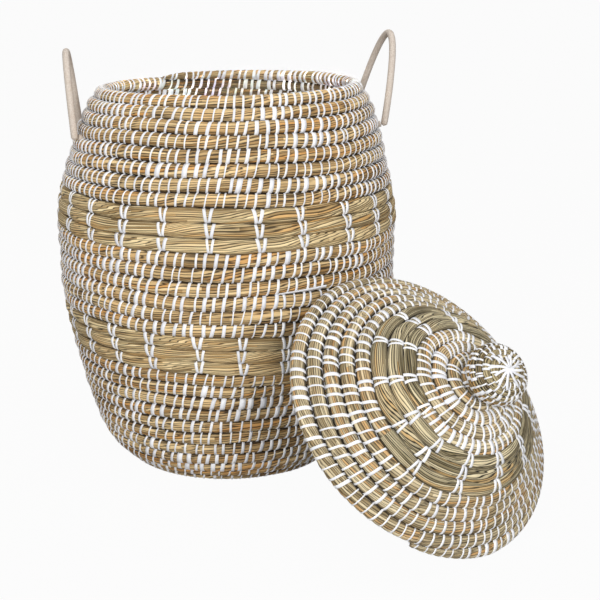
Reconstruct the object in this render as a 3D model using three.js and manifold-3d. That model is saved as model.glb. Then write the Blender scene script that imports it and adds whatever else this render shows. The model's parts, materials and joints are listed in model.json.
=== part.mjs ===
// Lidded laundry basket of coiled straw. A straw bundle runs in one spiral from the middle of the base,
// up the bellied wall to the rim, and the lid is wound the same way around its knob. Two bare bands, three
// rows tall, break the stitched wall, and one breaks the lid. Two wrapped rope loops serve as handles. The
// lid is off and leans on the basket. Millimetres, +Z up, origin in the middle of the base, on the floor.
import * as THREE from 'three';
import { mergeVertices } from 'three/addons/utils/BufferGeometryUtils.js';
import Module from 'manifold-3d';

// Basket outline, measured to the crest of the coil. Its top leans a little to the right.
const BASE_FLAT_R = 138;
const FOOT_R = 150;
const FOOT_Z = 3.6;
const HEEL_R = 178;
const HEEL_Z = 36;
const TAPER_R = 210;
const TAPER_Z = 139;
const BELLY_R = 230.5;
const BELLY_LOW_Z = 246;
const BELLY_HIGH_Z = 350;
const SHOULDER_R = 206.5;
const SHOULDER_Z = 453;
const NECK_R = 191;
const NECK_Z = 492;
const RIM_R = 168;
const HEIGHT = 524;
const LEAN_FROM_Z = 390;
const TOP_LEAN_X = 8;

// Coil rows of the basket, from the middle of the base to the rim
const BASE_ROWS = 8;
const LOWER_ROWS = 10;
const BAND_ROWS = 3;
const MIDDLE_ROWS = 6;
const UPPER_ROWS = 7;
const RIM_ROWS = 1;
const COIL_THICK = 16;
const GROOVE_DEPTH = 4;
const COIL_END_ANGLE = 129;
const RIM_TAPER_START = 0.75;
const RIM_TAPER_END = 0.45;

// Lid: a cone with a rounded crown a little off its middle, measured the same way, rim plane at z = 0
const LID_RIM_R = 196;
const LID_SLOPE = 39;
const LID_CROWN_R = 98;
const LID_CROWN_Z = 97;
const LID_CROWN_OFF_X = 8;
const LID_CROWN_OFF_Y = -12;
const LID_OUTER_ROWS = 4;
const LID_INNER_ROWS = 3;
const LID_THICK = 16;
const LID_END_ANGLE = 232;
const LID_TAPER_START = 0.9;
const LID_TAPER_END = 0.3;
const LID_TILT = 48.3;
const LID_TILT_AZIMUTH = -48.9;
const LID_PLACE_AZIMUTH = -46.3;

// Knob on the lid
const KNOB_R = 37.5;
const KNOB_H = 55;
const KNOB_FOOT_R = 22;
const KNOB_OFF_X = 13;
const KNOB_OFF_Y = -3.5;

// Rope handles: loops that turn on their two ends, and the knots that hold those ends inside the wall
const ROPE_R = 4.75;
const HANDLE_SPAN_ANGLE = 34;
const HANDLE_ROWS_DOWN = 4;
const RIGHT_HANDLE_AZIMUTH = 16.5;
const RIGHT_HANDLE_H = 117.5;
const RIGHT_HANDLE_LEAN = 13.5;
const LEFT_HANDLE_AZIMUTH = 187;
const LEFT_HANDLE_H = 104;
const LEFT_HANDLE_LEAN = 5;
const LOOP_FULLNESS = 1.7;
const STUB_PROUD = 1;
const KNOT_R = 10;
const KNOT_LENGTH = 15;

// Clearances
const SEAM_GAP = 0.3;
const HOLE_GAP = 0.4;
const PIVOT_GAP = 0.4;
const KNOT_GAP = 2.4;
const LEAN_GAP = 0.5;

// How finely the round shapes are faceted
const COLUMNS = 24;
const ROPE_STEPS = 26;
const ROPE_SIDES = 8;
const ROUND_SIDES = 16;
const ROW_SHOULDERS = [0, 0.28, 0.72];

const rad = THREE.MathUtils.degToRad;
const level = (degrees) => new THREE.Vector3(Math.cos(rad(degrees)), Math.sin(rad(degrees)), 0);
const wasm = await Module();
wasm.setup();

// Outlines as arc-length curves in radius (x) and height (y)
const baseCurve = new THREE.Path();
baseCurve.moveTo(0, 0);
baseCurve.lineTo(BASE_FLAT_R, 0);
baseCurve.quadraticCurveTo((BASE_FLAT_R + FOOT_R) / 2, 0, FOOT_R, FOOT_Z);

const wallCurve = new THREE.CatmullRomCurve3([
  [FOOT_R, FOOT_Z],
  [HEEL_R, HEEL_Z],
  [TAPER_R, TAPER_Z],
  [BELLY_R, BELLY_LOW_Z],
  [BELLY_R, (BELLY_LOW_Z + BELLY_HIGH_Z) / 2],
  [BELLY_R, BELLY_HIGH_Z],
  [SHOULDER_R, SHOULDER_Z],
  [NECK_R, NECK_Z],
  [RIM_R, HEIGHT],
].map(([r, z]) => new THREE.Vector3(r, z, 0)), false, 'centripetal');

const lidSlope = Math.tan(rad(LID_SLOPE));
const lidCurve = new THREE.Path();
lidCurve.moveTo(0, LID_CROWN_Z);
lidCurve.quadraticCurveTo(LID_RIM_R - LID_CROWN_Z / lidSlope, LID_CROWN_Z, LID_CROWN_R, (LID_RIM_R - LID_CROWN_R) * lidSlope);
lidCurve.lineTo(LID_RIM_R, 0);

const wallRows = LOWER_ROWS + BAND_ROWS + MIDDLE_ROWS + BAND_ROWS + UPPER_ROWS + RIM_ROWS;
const wallTurns = wallRows + RIM_TAPER_START;
const lidRows = LID_INNER_ROWS + BAND_ROWS + LID_OUTER_ROWS + RIM_ROWS;
const lidTurns = 1 + lidRows + 1;

// A point of an outline with its normal, which is left of the direction of travel turned by side
function outlinePoint(curve, u, side) {
  const at = curve.getPointAt(THREE.MathUtils.clamp(u, 0, 1));
  const tangent = curve.getTangentAt(THREE.MathUtils.clamp(u, 0.001, 0.999));
  return { r: at.x, z: at.y, nr: side * tangent.y, nz: -side * tangent.x };
}

// Rows are counted from the middle of the coil. The basket's outer face looks down and out, the lid's up.
function basketPoint(row) {
  if (row < BASE_ROWS) return outlinePoint(baseCurve, row / BASE_ROWS, 1);
  return outlinePoint(wallCurve, (row - BASE_ROWS) / wallTurns, 1);
}

function lidPoint(row) {
  return outlinePoint(lidCurve, row / lidTurns, -1);
}

const basketPitch = wallCurve.getLength() / wallTurns;
const lidPitch = lidCurve.getLength() / lidTurns;

// How far the middle of a coil is off its axis at a height
const basketDrift = (z) => [TOP_LEAN_X * Math.max(0, (z - LEAN_FROM_Z) / (HEIGHT - LEAN_FROM_Z)), 0];
const lidDrift = (z) => [LID_CROWN_OFF_X * z / LID_CROWN_Z, LID_CROWN_OFF_Y * z / LID_CROWN_Z];

const basketCoil = {
  point: basketPoint, pitch: basketPitch, thick: COIL_THICK, start: rad(COIL_END_ANGLE), sense: 1, drift: basketDrift,
};
const lidCoil = {
  point: lidPoint, pitch: lidPitch, thick: LID_THICK, start: rad(LID_END_ANGLE), sense: -1, drift: lidDrift,
};

// The place of a row at a share of a turn along the coil, set in from the crest
function coilVertex(coil, row, turn, inset, shift = 0) {
  const p = coil.point(row);
  const r = p.r - inset * p.nr;
  const angle = coil.start + coil.sense * (2 * Math.PI * turn - shift / Math.max(p.r, 1));
  const z = p.z - inset * p.nz;
  const [x, y] = coil.drift(z);
  return new THREE.Vector3(r * Math.cos(angle) + x, r * Math.sin(angle) + y, z);
}

function closedGeometry(points, triangles, flip = false) {
  const geometry = new THREE.BufferGeometry();
  geometry.setAttribute('position', new THREE.Float32BufferAttribute(points.flatMap((p) => p.toArray()), 3));
  geometry.setIndex((flip ? triangles.map(([a, b, c]) => [a, c, b]) : triangles).flat());
  geometry.computeVertexNormals();
  return geometry;
}

// Several turns of the coil, sewn to each other, as one closed ribbon. Each column of points climbs by one
// row in a turn, so the last column meets the first one row higher, and the ribbon starts and ends in a
// step. full(turn) is the height of the last row, which tapers where the coil ends.
function coilRibbon(coil, firstRow, rows, groove, full = () => 1) {
  const shoulders = groove > 0 ? ROW_SHOULDERS : [0];
  const per = shoulders.length;
  const gapRows = SEAM_GAP / coil.pitch;
  const points = [];
  const outer = [];
  const inner = [];
  for (let j = 0; j <= COLUMNS; j += 1) {
    const turn = j / COLUMNS;
    const ends = j === COLUMNS;
    const shift = ends ? SEAM_GAP : 0;
    const rowAt = (k, share) => {
      const height = k === rows - 1 ? full(turn) : 1;
      let row = firstRow + turn + k + share * height;
      if (k === 0 && share === 0) row += gapRows;
      if (k === rows) row = firstRow + turn + rows - 1 + full(turn) - (ends ? gapRows : 0);
      return row;
    };
    outer.push([]);
    inner.push([]);
    for (let i = 0; i <= rows * per; i += 1) {
      if (ends && i + per <= rows * per) {
        outer[j].push(outer[0][i + per]);
      } else {
        const k = Math.floor(i / per);
        const inset = i % per === 0 ? groove : 0;
        outer[j].push(points.length);
        points.push(coilVertex(coil, rowAt(k, shoulders[i % per]), turn, inset, shift));
      }
    }
    for (let k = 0; k <= rows; k += 1) {
      if (ends && k + 1 <= rows) {
        inner[j].push(inner[0][k + 1]);
      } else {
        inner[j].push(points.length);
        points.push(coilVertex(coil, rowAt(k, 0), turn, coil.thick, shift));
      }
    }
  }
  const triangles = [];
  const quad = (a, b, c, d) => triangles.push([a, b, c], [a, c, d]);
  for (let j = 0; j < COLUMNS; j += 1) {
    for (let i = 0; i < rows * per; i += 1) {
      quad(outer[j][i], outer[j + 1][i], outer[j + 1][i + 1], outer[j][i + 1]);
    }
    for (let k = 0; k < rows; k += 1) {
      quad(inner[j][k], inner[j][k + 1], inner[j + 1][k + 1], inner[j + 1][k]);
    }
    quad(outer[j][0], inner[j][0], inner[j + 1][0], outer[j + 1][0]);
    quad(outer[j][rows * per], outer[j + 1][rows * per], inner[j + 1][rows], inner[j][rows]);
  }
  for (let i = 0; i < per; i += 1) {
    triangles.push([inner[0][0], outer[0][i], outer[0][i + 1]]);
    const top = (rows - 1) * per + i;
    triangles.push([inner[COLUMNS][rows - 1], outer[COLUMNS][top + 1], outer[COLUMNS][top]]);
  }
  triangles.push([inner[0][0], outer[0][per], inner[0][1]]);
  triangles.push([inner[COLUMNS][rows - 1], inner[COLUMNS][rows], outer[COLUMNS][rows * per]]);
  return closedGeometry(points, triangles);
}

// The tight start of the coil: a disc whose edge follows the first turn, with the step of that turn
function coilStart(coil, rows) {
  const gapRows = SEAM_GAP / coil.pitch;
  const points = [];
  for (const inset of [0, coil.thick]) {
    const edge = [];
    for (let j = 0; j <= COLUMNS; j += 1) {
      const turn = j / COLUMNS;
      edge.push(coilVertex(coil, rows + turn - gapRows, turn, inset, j === COLUMNS ? SEAM_GAP : 0));
    }
    points.push(...(coil.sense < 0 ? edge.reverse() : edge));
  }
  const contour = points.slice(0, COLUMNS + 1).map((p) => new THREE.Vector2(p.x, p.y));
  const n = contour.length;
  const triangles = [];
  for (const [a, b, c] of THREE.ShapeUtils.triangulateShape(contour, [])) {
    triangles.push([a, c, b], [n + a, n + b, n + c]);
  }
  for (let j = 0; j < n; j += 1) {
    const next = (j + 1) % n;
    triangles.push([j, next, n + next], [j, n + next, n + j]);
  }
  return closedGeometry(points, triangles, coil.sense < 0);
}

// A rope of round section along a curve, with a ball at each end
function ropeGeometry(curve, radius) {
  const frames = curve.computeFrenetFrames(ROPE_STEPS, false);
  const points = [];
  const triangles = [];
  const rings = [];
  const ring = (centre, normal, binormal, r) => {
    const first = points.length;
    for (let i = 0; i < ROPE_SIDES; i += 1) {
      const a = 2 * Math.PI * i / ROPE_SIDES;
      points.push(centre.clone().addScaledVector(normal, r * Math.cos(a)).addScaledVector(binormal, r * Math.sin(a)));
    }
    rings.push(first);
  };
  const capAngles = [rad(60), rad(30)];
  const start = curve.getPointAt(0);
  const end = curve.getPointAt(1);
  const { tangents, normals, binormals } = frames;
  points.push(start.clone().addScaledVector(tangents[0], -radius));
  for (const a of capAngles) {
    ring(start.clone().addScaledVector(tangents[0], -radius * Math.sin(a)), normals[0], binormals[0], radius * Math.cos(a));
  }
  for (let i = 0; i <= ROPE_STEPS; i += 1) ring(curve.getPointAt(i / ROPE_STEPS), normals[i], binormals[i], radius);
  for (const a of [...capAngles].reverse()) {
    ring(end.clone().addScaledVector(tangents[ROPE_STEPS], radius * Math.sin(a)), normals[ROPE_STEPS],
      binormals[ROPE_STEPS], radius * Math.cos(a));
  }
  const tip = points.length;
  points.push(end.clone().addScaledVector(tangents[ROPE_STEPS], radius));
  for (let i = 0; i < ROPE_SIDES; i += 1) {
    const next = (i + 1) % ROPE_SIDES;
    triangles.push([0, rings[0] + next, rings[0] + i]);
    for (let k = 0; k + 1 < rings.length; k += 1) {
      triangles.push([rings[k] + i, rings[k] + next, rings[k + 1] + next], [rings[k] + i, rings[k + 1] + next, rings[k + 1] + i]);
    }
    triangles.push([tip, rings.at(-1) + i, rings.at(-1) + next]);
  }
  return closedGeometry(points, triangles);
}

// A round piece turned about +Z from a profile that starts and ends on the axis
function turnedGeometry(profile, sides) {
  return new THREE.LatheGeometry(profile.map(([r, z]) => new THREE.Vector2(r, z)), sides).rotateX(Math.PI / 2);
}

function toManifold(geometry) {
  const bare = geometry.clone();
  for (const name of ['normal', 'uv']) bare.deleteAttribute(name);
  const merged = mergeVertices(bare, 1e-4);
  return new wasm.Manifold(new wasm.Mesh({
    numProp: 3,
    vertProperties: new Float32Array(merged.attributes.position.array),
    triVerts: new Uint32Array(merged.index.array),
  }));
}

function fromManifold(solid) {
  const mesh = solid.getMesh();
  const geometry = new THREE.BufferGeometry();
  geometry.setAttribute('position', new THREE.BufferAttribute(new Float32Array(mesh.vertProperties), 3));
  geometry.setIndex(new THREE.BufferAttribute(new Uint32Array(mesh.triVerts), 1));
  geometry.computeVertexNormals();
  return geometry;
}

const straw = { color: 0xbf9a64, roughness: 0.8, metalness: 0 };
const bareStraw = { color: 0xb39a68, roughness: 0.82, metalness: 0 };
const lidStraw = { color: 0xa89668, roughness: 0.8, metalness: 0 };
const cream = { color: 0xddd0c2, roughness: 0.75, metalness: 0 };

function piece(group, name, geometry, look) {
  const mesh = new THREE.Mesh(geometry, new THREE.MeshStandardMaterial(look));
  mesh.name = name;
  group.add(mesh);
  return mesh;
}

const taper = (start, end) => (turn) => (turn <= start ? 1 : THREE.MathUtils.mapLinear(turn, start, 1, 1, end));

// Basket: each section starts on the row where the one below it stops
const basket = new THREE.Group();
let row = BASE_ROWS;
piece(basket, 'base_centre', coilStart(basketCoil, 1), straw);
piece(basket, 'base_coil', coilRibbon(basketCoil, 1, BASE_ROWS - 1, 0), straw);
piece(basket, 'lower_wall_coils', coilRibbon(basketCoil, row, LOWER_ROWS, GROOVE_DEPTH), straw);
row += LOWER_ROWS;
piece(basket, 'lower_band_coils', coilRibbon(basketCoil, row, BAND_ROWS, GROOVE_DEPTH), bareStraw);
row += BAND_ROWS;
piece(basket, 'middle_wall_coils', coilRibbon(basketCoil, row, MIDDLE_ROWS, GROOVE_DEPTH), straw);
row += MIDDLE_ROWS;
piece(basket, 'upper_band_coils', coilRibbon(basketCoil, row, BAND_ROWS, GROOVE_DEPTH), bareStraw);
row += BAND_ROWS;
const upperWall = piece(basket, 'upper_wall_coils', coilRibbon(basketCoil, row, UPPER_ROWS, GROOVE_DEPTH), straw);
row += UPPER_ROWS;
piece(basket, 'rim_coil', coilRibbon(basketCoil, row, RIM_ROWS, GROOVE_DEPTH, taper(RIM_TAPER_START, RIM_TAPER_END)), straw);
const topRow = row + RIM_ROWS;

// Handles: each end sits over the seam some rows below the rim and its stub goes through the wall there
const up = new THREE.Vector3(0, 0, 1);
const pivotProud = STUB_PROUD + PIVOT_GAP + ROPE_R;

function handleEnd(azimuth) {
  const turn = THREE.MathUtils.euclideanModulo((rad(azimuth) - basketCoil.start) / (2 * Math.PI), 1);
  const seat = coilVertex(basketCoil, topRow - HANDLE_ROWS_DOWN + turn, turn, 0);
  const p = basketPoint(topRow - HANDLE_ROWS_DOWN + turn);
  const out = new THREE.Vector3(p.nr * Math.cos(rad(azimuth)), p.nr * Math.sin(rad(azimuth)), p.nz);
  return { seat, out, pivot: seat.clone().addScaledVector(out, pivotProud) };
}

const stubInside = -(COIL_THICK + KNOT_GAP);
const knotProfile = [
  [0, stubInside - KNOT_LENGTH],
  [0.6 * KNOT_R, stubInside - KNOT_LENGTH],
  [KNOT_R, stubInside - 0.7 * KNOT_LENGTH],
  [KNOT_R, stubInside - 0.3 * KNOT_LENGTH],
  [0.7 * KNOT_R, stubInside],
  [ROPE_R, stubInside],
  [ROPE_R, STUB_PROUD],
  [0, STUB_PROUD],
];
const holeR = ROPE_R + HOLE_GAP;
const holeProfile = [
  [0, stubInside - COIL_THICK],
  [holeR, stubInside - COIL_THICK],
  [holeR, COIL_THICK],
  [0, COIL_THICK],
];

let wallSolid = toManifold(upperWall.geometry);

function addHandle(side, azimuth, height, lean) {
  const front = Math.cos(rad(azimuth)) > 0 ? -1 : 1;
  const ends = {
    front: handleEnd(azimuth + front * HANDLE_SPAN_ANGLE / 2),
    back: handleEnd(azimuth - front * HANDLE_SPAN_ANGLE / 2),
  };
  for (const [name, end] of Object.entries(ends)) {
    const turnTo = new THREE.Quaternion().setFromUnitVectors(up, end.out);
    const knot = piece(basket, `${side}_handle_${name}_knot`, turnedGeometry(knotProfile, ROUND_SIDES), cream);
    knot.position.copy(end.seat);
    knot.quaternion.copy(turnTo);
    const hole = turnedGeometry(holeProfile, ROUND_SIDES).applyQuaternion(turnTo);
    wallSolid = wallSolid.subtract(toManifold(hole.translate(end.seat.x, end.seat.y, end.seat.z)));
  }
  const chord = ends.back.pivot.clone().sub(ends.front.pivot);
  const middle = ends.front.pivot.clone().add(ends.back.pivot).multiplyScalar(0.5);
  const outward = level(azimuth);
  const rise = up.clone().multiplyScalar(Math.cos(rad(lean))).addScaledVector(outward, Math.sin(rad(lean)));
  const loop = [];
  const stops = 16;
  for (let i = 0; i <= stops; i += 1) {
    const a = Math.PI * i / stops;
    loop.push(middle.clone()
      .addScaledVector(chord, -0.5 * Math.cos(a))
      .addScaledVector(rise, height * Math.sin(a) ** LOOP_FULLNESS));
  }
  piece(basket, `${side}_handle_loop`, ropeGeometry(new THREE.CatmullRomCurve3(loop), ROPE_R), cream);
}

addHandle('right', RIGHT_HANDLE_AZIMUTH, RIGHT_HANDLE_H, RIGHT_HANDLE_LEAN);
addHandle('left', LEFT_HANDLE_AZIMUTH, LEFT_HANDLE_H, LEFT_HANDLE_LEAN);
upperWall.geometry = fromManifold(wallSolid);

// Lid, in its own frame: +Y is uphill and +Z the knob's way once it leans
const lid = new THREE.Group();
let lidRow = 1;
piece(lid, 'lid_centre', coilStart(lidCoil, lidRow), lidStraw);
piece(lid, 'lid_inner_coils', coilRibbon(lidCoil, lidRow, LID_INNER_ROWS, GROOVE_DEPTH), lidStraw);
lidRow += LID_INNER_ROWS;
piece(lid, 'lid_band_coils', coilRibbon(lidCoil, lidRow, BAND_ROWS, GROOVE_DEPTH), bareStraw);
lidRow += BAND_ROWS;
piece(lid, 'lid_outer_coils', coilRibbon(lidCoil, lidRow, LID_OUTER_ROWS, GROOVE_DEPTH), lidStraw);
lidRow += LID_OUTER_ROWS;
piece(lid, 'lid_rim_coil', coilRibbon(lidCoil, lidRow, RIM_ROWS, GROOVE_DEPTH, taper(LID_TAPER_START, LID_TAPER_END)), lidStraw);

const knobProfile = [[0, 0], [KNOB_FOOT_R, 0]];
const knobStops = 7;
const knobLow = rad(-52);
for (let i = 1; i <= knobStops; i += 1) {
  const a = THREE.MathUtils.lerp(knobLow, Math.PI / 2, i / knobStops);
  const z = THREE.MathUtils.mapLinear(Math.sin(a), Math.sin(knobLow), 1, 0, KNOB_H);
  knobProfile.push([i === knobStops ? 0 : KNOB_R * Math.cos(a), z]);
}
const knob = piece(lid, 'lid_knob', turnedGeometry(knobProfile, ROUND_SIDES), lidStraw);
const knobFoot = lidPoint(1).z + SEAM_GAP;
const [crownX, crownY] = lidDrift(knobFoot);
knob.position.set(crownX + KNOB_OFF_X, crownY + KNOB_OFF_Y, knobFoot);

// The lid stands on the floor on its rim, tilted, and is then pushed towards the basket until it touches
const tilted = level(LID_TILT_AZIMUTH);
const axis = up.clone().multiplyScalar(Math.cos(rad(LID_TILT))).addScaledVector(tilted, Math.sin(rad(LID_TILT)));
const across = new THREE.Vector3().crossVectors(up, tilted);
const away = level(LID_PLACE_AZIMUTH);
lid.quaternion.setFromRotationMatrix(new THREE.Matrix4().makeBasis(across, axis.clone().cross(across), axis));
lid.position.copy(away).multiplyScalar(2 * (BELLY_R + LID_RIM_R));
lid.updateMatrixWorld(true);
lid.position.z -= new THREE.Box3().setFromObject(lid, true).min.z;
lid.updateMatrixWorld(true);
basket.updateMatrixWorld(true);

// Points along every edge of a mesh, in the part's frame
function edgePoints(mesh, stops) {
  const corners = mesh.geometry.toNonIndexed().attributes.position;
  const points = [];
  const from = new THREE.Vector3();
  const to = new THREE.Vector3();
  for (let i = 0; i < corners.count; i += 1) {
    from.fromBufferAttribute(corners, i).applyMatrix4(mesh.matrixWorld);
    to.fromBufferAttribute(corners, i % 3 === 2 ? i - 2 : i + 1).applyMatrix4(mesh.matrixWorld);
    for (let k = 0; k < stops; k += 1) points.push(from.clone().lerp(to, k / stops));
  }
  return points;
}

function wayBetween(points, target, direction) {
  const ray = new THREE.Raycaster();
  let least = Infinity;
  for (const point of points) {
    ray.set(point, direction);
    const hit = ray.intersectObject(target, false)[0];
    if (hit && hit.distance < least) least = hit.distance;
  }
  return least;
}

const lidRim = lid.getObjectByName('lid_rim_coil');
const belly = basket.getObjectByName('middle_wall_coils');
const inward = away.clone().negate();
const way = Math.min(
  wayBetween(edgePoints(lidRim, 6), belly, inward),
  wayBetween(edgePoints(belly, 2), lidRim, away),
);
lid.position.addScaledVector(inward, way - LEAN_GAP);

const part = new THREE.Group();
part.add(basket, lid);
part.updateMatrixWorld(true);

export default part;
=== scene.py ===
"""The looks of a lidded laundry basket: straw coiled in rows and lashed with white plastic strip, two rope
handles, and a conical lid that leans on the wall. Metres, +Z up, the basket's base on z = 0."""
import json
import math

import bpy
import numpy as np
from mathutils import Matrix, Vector


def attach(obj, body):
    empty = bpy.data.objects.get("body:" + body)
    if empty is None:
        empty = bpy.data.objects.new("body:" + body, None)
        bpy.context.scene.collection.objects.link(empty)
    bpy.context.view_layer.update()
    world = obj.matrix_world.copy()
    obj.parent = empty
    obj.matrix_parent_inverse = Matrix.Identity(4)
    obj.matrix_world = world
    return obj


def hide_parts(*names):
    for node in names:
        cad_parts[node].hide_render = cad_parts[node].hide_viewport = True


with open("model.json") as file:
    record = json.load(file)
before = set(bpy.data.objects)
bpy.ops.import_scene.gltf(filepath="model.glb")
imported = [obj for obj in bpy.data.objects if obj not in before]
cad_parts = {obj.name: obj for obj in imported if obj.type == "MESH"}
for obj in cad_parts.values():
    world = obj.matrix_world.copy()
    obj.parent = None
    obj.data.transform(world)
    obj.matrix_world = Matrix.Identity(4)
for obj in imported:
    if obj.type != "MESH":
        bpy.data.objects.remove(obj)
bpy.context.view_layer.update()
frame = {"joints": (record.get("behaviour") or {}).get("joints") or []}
scene = bpy.context.scene
scene.view_settings.view_transform = "Standard"


# Studio: a white floor that runs out of sight, with broad soft lamps at both sides of the front and overhead.
# The camera stands two steps away, a little above the rim, and looks down on the basket.
WHITE = (1, 1, 1, 1)
FLOOR_GREY = (0.34, 0.33, 0.32, 1)
FLOOR_HALF = 60
FLOOR_WHITENESS = 0.96
BASKET_MIDDLE = (0.05, 0, 0.26)


def add(tree, kind, inputs=None, **settings):
    """A node of a tree, with its settings and its inputs, each a value or another node's output."""
    node = tree.nodes.new(kind)
    for name, value in settings.items():
        setattr(node, name, value)
    for key, value in (inputs or {}).items():
        if isinstance(value, bpy.types.NodeSocket):
            tree.links.new(value, node.inputs[key])
        else:
            node.inputs[key].default_value = value
    return node


def made(tree, kind, inputs=None, **settings):
    """What a new node of a tree puts out first."""
    return add(tree, kind, inputs, **settings).outputs[0]


def calc(tree, operation, *values):
    """One step of arithmetic in a tree."""
    return made(tree, "ShaderNodeMath", dict(enumerate(values)), operation=operation)


def seen_directly(tree):
    """1 for rays from the camera, from a mirror or through glass, which see the studio as plain white."""
    ray = add(tree, "ShaderNodeLightPath").outputs
    glossy_or_clear = calc(tree, "MAXIMUM", ray["Is Glossy Ray"], ray["Is Transmission Ray"])
    return calc(tree, "MAXIMUM", ray["Is Camera Ray"], glossy_or_clear)


def bare_material(name):
    """A new material, and its node tree with nothing in it."""
    finish = bpy.data.materials.new(name)
    finish.use_nodes = True
    finish.node_tree.nodes.clear()
    return finish, finish.node_tree


def lamp(name, shape, size, watts, place, aim):
    """A soft lamp of a given shape and size that shines on a point."""
    light = bpy.data.objects.new(name, bpy.data.lights.new(name, "AREA"))
    light.data.shape = shape
    light.data.size = size
    light.data.energy = watts
    light.location = place
    light.rotation_euler = (Vector(aim) - Vector(place)).to_track_quat("-Z", "Y").to_euler()
    scene.collection.objects.link(light)
    return light.data


camera = bpy.data.objects.new("camera", bpy.data.cameras.new("camera"))
camera.data.sensor_width = 36
camera.data.lens = 69.98
camera.location = (0.1, -1.588, 0.6622)
camera.rotation_euler = (math.radians(74.155), 0, 0)
scene.collection.objects.link(camera)
scene.camera = camera

floor_paint, tree = bare_material("floor_paint")
matte = made(tree, "ShaderNodeBsdfDiffuse", {"Color": FLOOR_GREY})
white = made(tree, "ShaderNodeEmission", {"Color": WHITE, "Strength": 1})
share = calc(tree, "MULTIPLY", seen_directly(tree), FLOOR_WHITENESS)
mixed = made(tree, "ShaderNodeMixShader", {0: share, 1: matte, 2: white})
add(tree, "ShaderNodeOutputMaterial", {"Surface": mixed})

floor_mesh = bpy.data.meshes.new("floor")
floor_corners = [(x * FLOOR_HALF, y * FLOOR_HALF, 0) for x, y in ((-1, -1), (1, -1), (1, 1), (-1, 1))]
floor_mesh.from_pydata(floor_corners, [], [(0, 1, 2, 3)])
floor_mesh.materials.append(floor_paint)
floor = bpy.data.objects.new("floor", floor_mesh)
floor.location = (0, 0, -0.0005)
scene.collection.objects.link(floor)

studio = bpy.data.worlds.new("studio")
studio.use_nodes = True
scene.world = studio
tree = studio.node_tree
tree.nodes.clear()
walls = made(tree, "ShaderNodeBackground", {"Color": WHITE, "Strength": 0.31})
white = made(tree, "ShaderNodeBackground", {"Color": WHITE, "Strength": 1})
mixed = made(tree, "ShaderNodeMixShader", {0: seen_directly(tree), 1: walls, 2: white})
add(tree, "ShaderNodeOutputWorld", {"Surface": mixed})

lamp("left_lamp", "DISK", 1.2, 36, (-0.9, -2.5, 1.2), BASKET_MIDDLE)
lamp("right_lamp", "DISK", 1.1, 32, (1.2, -2.4, 1.1), BASKET_MIDDLE)
lamp("top_lamp", "DISK", 1.6, 17, (0.1, 0.1, 2.6), BASKET_MIDDLE)

# A narrow lamp that shines over the front of the rim on the inside of the mouth
mouth_lamp = lamp("mouth_lamp", "RECTANGLE", 0.34, 0.06, (0.005, -1.3, 0.8), (0.008, 0.165, 0.49))
mouth_lamp.size_y = 0.04
mouth_lamp.spread = math.radians(2)


# Base: one straw bundle as thick as a thumb starts in the middle and runs round in a flat spiral. Each row
# is sewn to the row before it with a strip of white plastic that is wound round the bundle.
COIL_DEPTH = 0.016
COIL_HEIGHT = 0.0186
COIL_SQUARENESS = 2.15
COIL_RIDGE = 0.0016
COIL_SIDES = 24
COIL_START = math.radians(129)
POINTS_PER_TURN = 720
STRAW_RUN = 16.0
RIDGES_ACROSS = 3.4
STITCH_STEP = 0.0121
STITCH_JITTER = 0.0012
STITCH_MARGIN = 0.001
STITCH_PINCH = 0.0005
STRAW_SWELL = 0.0003
TAIL_STEP = 0.003
TAIL_MARGIN = 0.0015
STRIP_THICKNESS = 0.0007
STRIP_SIDES = 17
STRIP_OVER_HEIGHT = 0.0002
STRIP_OVER_DEPTH = 0.0006
STRIP_ADVANCE = 0.85
ADVANCE_CHANCE = 0.3
WIDTH_RUN = 7
WIDTH_BY_RUN = 0.3
WIDTH_CHANCE = 0.22
WIDTH_LIMITS = (0.6, 2.3)
INNER_SPREAD = 0.35
BASE_ROWS = 8
LAST_ROW = 38.75
BASE_FLAT_R = 0.138
FOOT = (0.15, 0.0036)
SAGGING_ROWS = 30.4
TOP_LEAN = 0.008
LEAN_FROM = 0.39
LEAN_RISE = 0.134
BASE_RIDGE = 0.001


def length_of(points):
    """The length of a line so far at each of its points."""
    return np.concatenate([[0], np.cumsum(np.linalg.norm(np.diff(points, axis=0), axis=1))])


def unit(ways):
    """Rows of directions, each made one long."""
    return ways / np.linalg.norm(ways, axis=1)[:, None]


def along_line(wanted, length, values):
    """The values of a line, single or in columns, at the lengths asked for."""
    if values.ndim == 1:
        return np.interp(wanted, length, values)
    return np.column_stack([np.interp(wanted, length, column) for column in values.T])


def rounded(first, corner, last, count):
    """Points of a rounded corner from one point to another."""
    t = np.linspace(0, 1, count)[:, None]
    return (1 - t) ** 2 * first + 2 * t * (1 - t) * corner + t ** 2 * last


def smooth_through(stations, steps=160):
    """Fine points of a smooth curve through stations, closer together where the stations are."""
    p = np.array(stations)
    p = np.vstack([2 * p[0] - p[1], p, 2 * p[-1] - p[-2]])
    u = np.linspace(0, 1, steps, endpoint=False)[:, None]
    fine = []
    for a, b, c, d in zip(p, p[1:], p[2:], p[3:]):
        t0, t1, t2 = (math.sqrt(np.linalg.norm(v)) for v in (b - a, c - b, d - c))
        leave = t1 * ((b - a) / t0 - (c - a) / (t0 + t1) + (c - b) / t1)
        arrive = t1 * ((c - b) / t1 - (d - b) / (t1 + t2) + (d - c) / t2)
        bend = -3 * b + 3 * c - 2 * leave - arrive
        fine.append(b + u * leave + u ** 2 * bend + u ** 3 * (2 * b - 2 * c + leave + arrive))
    return np.vstack([*fine, p[-2][None]])


def outline_by_row(points, first_row, last_row, side):
    """Rows of (coil row, radius, height, outward normal) along an outline of even rows."""
    length = length_of(points)
    tangent = unit(np.gradient(points, length, axis=0))
    row = first_row + (last_row - first_row) * length / length[-1]
    return np.column_stack([row, points, side * tangent[:, 1], -side * tangent[:, 0]])


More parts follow.
